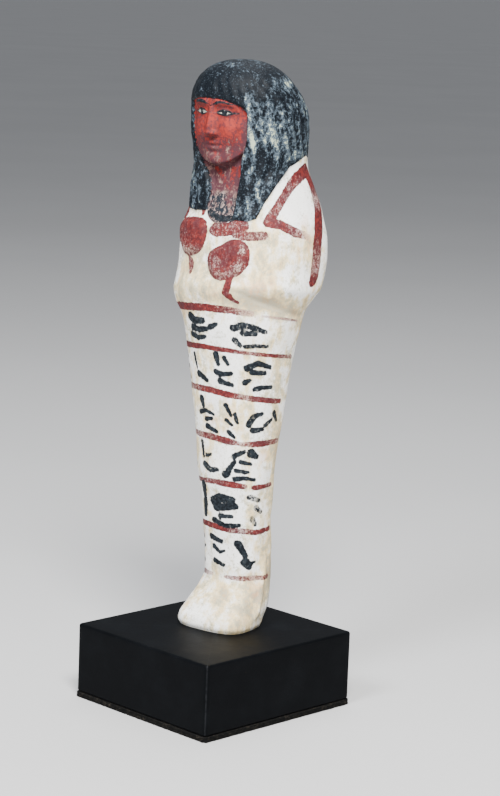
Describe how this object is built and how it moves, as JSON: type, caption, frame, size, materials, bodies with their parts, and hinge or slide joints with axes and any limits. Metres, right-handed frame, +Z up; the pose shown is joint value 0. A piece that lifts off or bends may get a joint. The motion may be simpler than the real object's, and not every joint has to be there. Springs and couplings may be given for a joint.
{
  "type": "funerary figurine on block",
  "caption": "Mummy-shaped painted stone figurine with a striped long wig, crossed hands and banded legs, heel broken away, upright on a low black block.",
  "frame": {"origin": "centre of the underside of the felt pad under the block", "axes": "+Z up along the figurine, -Y out of the block's front, the side the figurine faces with a small turn, +X to the right in a view along +Y"},
  "size_m": [0.0678, 0.0718, 0.2275],
  "materials": {
    "painted_stone": "worn paint on a white ground, dull with some waxy gloss on the wig",
    "black_block": "satin black paint",
    "felt": "dull felt with a frayed paler edge"
  },
  "bodies": {
    "root": {"figurine": "painted_stone", "stand_block": "black_block", "stand_pad": "felt"}
  },
  "joints": []
}
